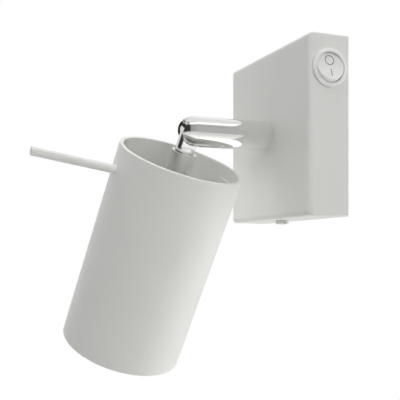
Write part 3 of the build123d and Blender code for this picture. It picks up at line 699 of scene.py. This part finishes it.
class SPOTLIGHT_OT_chrome_arm(bpy.types.Operator):
    """Chrome the arm's barrel, the head's stem and the hinge pin"""

    bl_idname = "spotlight.chrome_arm"
    bl_label = "Chrome arm and stem"

    def execute(self, context):
        colours = context.scene.spotlight_finishes
        plate = colours.chrome, colours.chrome_roughness
        dress(("hinge_pin",), bright_chrome("chromed_pin", *plate))
        dress(("head_stem",), stem_chrome("chromed_stem", *plate))
        dress(("arm_barrel",), slotted_chrome("chromed_barrel", *plate, colours.slot))
        return {"FINISHED"}


class SPOTLIGHT_OT_inner_metal(bpy.types.Operator):
    """Finish the zinc plated steel and the brass inside the light"""

    bl_idname = "spotlight.inner_metal"
    bl_label = "Inner metal"

    def execute(self, context):
        colours = context.scene.spotlight_finishes
        dress(
            ("wall_plate", "terminal_screws", "stop_pin", "arm_nut",
             "arm_spring_washer", "stop_washer", "stem_washer", "stem_nut", "rod_nut",
             "holder_spacers", "holder_screws"),
            zinc_plate("zinc_plated_steel", colours.zinc),
        )
        dress(
            ("earth_screw", "switch_terminals", "lampholder_contacts", "lamp_pins"),
            stamped_brass("stamped_brass", colours.brass),
        )
        return {"FINISHED"}


class SPOTLIGHT_OT_insulation(bpy.types.Operator):
    """Finish the plastics, rubber, ceramic and leads"""

    bl_idname = "spotlight.insulation"
    bl_label = "Plastics, rubber and ceramic"

    def execute(self, context):
        colours = context.scene.spotlight_finishes
        dress(("switch_body",), moulded_plastic("abs_switch_body", colours.switch, 0.34))
        dress(
            ("swivel_bush", "hinge_washers", "terminal_block"),
            moulded_plastic("natural_nylon", "#E5E1D6", 0.42, ior=1.53),
        )
        dress(("cable_grommet",), nitrile_rubber("nitrile_rubber"))
        dress(("lampholder",), steatite("glazed_steatite", colours.ceramic))
        dress(("canopy_leads", "arm_leads", "head_leads"), glass_braid("glass_braid_leads"))
        return {"FINISHED"}


class SPOTLIGHT_OT_rocker(bpy.types.Operator):
    """Mould the rocker with its finger dish and its two marks"""

    bl_idname = "spotlight.rocker"
    bl_label = "Rocker"

    def execute(self, context):
        sizes = context.scene.spotlight_rocker
        colours = context.scene.spotlight_finishes
        plastic = marked_plastic("abs_rocker", colours.switch, 0.3, colours.mark, sizes)
        # a drum with a round edge and a shallow dish for the finger
        drum, edge, top = sizes.drum_radius, sizes.edge, sizes.rise
        face = drum - edge
        profile = [(0.0, top - sizes.height)]
        profile += [(drum, height) for height in steps(top - sizes.height, top - edge, 10)]
        profile += [
            (face + edge * math.cos(a), top - edge + edge * math.sin(a))
            for a in steps(0.0, math.pi / 2, 6)[1:]
        ]
        profile += [
            (face * r, top - sizes.dish * (1.0 - r * r)) for r in steps(1.0, 0.0, 12)[1:]
        ]
        shape = spun(profile)
        # drawn in so that it stays inside a round of the drum's radius when it is tipped
        # either way: reach is the root of
        # (reach * cos(turn))^2 + (reach * across + lift)^2 = drum^2
        for vert in shape.verts:
            turn = math.atan2(vert.co.y, vert.co.x)
            across = abs(math.sin(turn)) * math.cos(ROCKER_LEAN)
            lift = abs(vert.co.z) * math.sin(ROCKER_LEAN)
            a, b = math.cos(turn) ** 2 + across**2, across * lift
            reach = (math.sqrt(b * b - a * (lift * lift - drum * drum)) - b) / a
            kept = min(1.0, reach / drum)
            vert.co.x *= kept
            vert.co.y *= kept
        trunnion = bmesh.ops.create_cone(
            shape, cap_ends=True, segments=TRUNNION_SIDES, radius1=TRUNNION_RADIUS,
            radius2=TRUNNION_RADIUS, depth=TRUNNION_SPAN,
            matrix=Matrix.Rotation(math.pi / 2, 4, "Y"),
        )
        if not trunnion["verts"]:
            raise RuntimeError("the rocker's trunnions weren't made")
        finish_piece(
            shape, "rocker_cap", ROCKER_FRAME, plastic, "rocker",
            "switch_rocker",
        )
        return {"FINISHED"}


class SPOTLIGHT_OT_lamp(bpy.types.Operator):
    """Make the spot lamp's pressed lens and finish its body"""

    bl_idname = "spotlight.lamp"
    bl_label = "Spot lamp"

    def execute(self, context):
        sizes = context.scene.spotlight_lamp
        dress(("lamp_body",), moulded_plastic("pbt_lamp_body", "#F2F2F0", 0.3, ior=1.57))
        outer = sizes.face - sizes.lens_inset
        inner = outer - sizes.lens_thickness
        rings = int(sizes.lens_radius / sizes.ring_pitch)
        pitch = sizes.lens_radius / rings
        ripple = [
            (pitch * i / 4, inner + sizes.ring_depth * (1 - abs((i % 4) - 2) / 2))
            for i in range(rings * 4)
        ]
        profile = ripple + [(sizes.lens_radius, inner), (sizes.lens_radius, outer), (0.0, outer)]
        finish_piece(
            spun(profile), "lamp_lens_pressed", HEAD_FRAME, pressed_glass("pressed_glass"),
            "lamp", "lamp_lens",
        )
        return {"FINISHED"}


class SPOTLIGHT_PT_panel(bpy.types.Panel):
    """The light's operators, in order"""

    bl_idname = "SPOTLIGHT_PT_panel"
    bl_label = "Pivoting Spotlight"
    bl_space_type = "VIEW_3D"
    bl_region_type = "UI"
    bl_category = "Spotlight"

    def draw(self, context):
        column = self.layout.column()
        for operator in OPERATORS:
            column.operator(operator.bl_idname)
        for name in GROUPS:
            group = getattr(context.scene, name)
            box = column.box()
            for key in group.__annotations__:
                box.prop(group, key)


OPERATORS = (
    SPOTLIGHT_OT_studio,
    SPOTLIGHT_OT_painted_steel,
    SPOTLIGHT_OT_chrome_arm,
    SPOTLIGHT_OT_inner_metal,
    SPOTLIGHT_OT_insulation,
    SPOTLIGHT_OT_rocker,
    SPOTLIGHT_OT_lamp,
)
GROUPS = {
    "spotlight_finishes": SpotlightFinishes,
    "spotlight_rocker": SpotlightRocker,
    "spotlight_lamp": SpotlightLamp,
    "spotlight_studio": SpotlightStudio,
}


def register():
    """Adds the property groups, the operators and the panel."""
    for group in GROUPS.values():
        bpy.utils.register_class(group)
    for operator in OPERATORS:
        bpy.utils.register_class(operator)
    bpy.utils.register_class(SPOTLIGHT_PT_panel)
    for name, group in GROUPS.items():
        setattr(bpy.types.Scene, name, bpy.props.PointerProperty(type=group))


def unregister():
    """Takes them away again."""
    for name in GROUPS:
        delattr(bpy.types.Scene, name)
    bpy.utils.unregister_class(SPOTLIGHT_PT_panel)
    for operator in reversed(OPERATORS):
        bpy.utils.unregister_class(operator)
    for group in reversed(GROUPS.values()):
        bpy.utils.unregister_class(group)


def main():
    register()
    for operator in OPERATORS:
        category, name = operator.bl_idname.split(".")
        getattr(getattr(bpy.ops, category), name)()


if __name__ == "__main__":
    main()
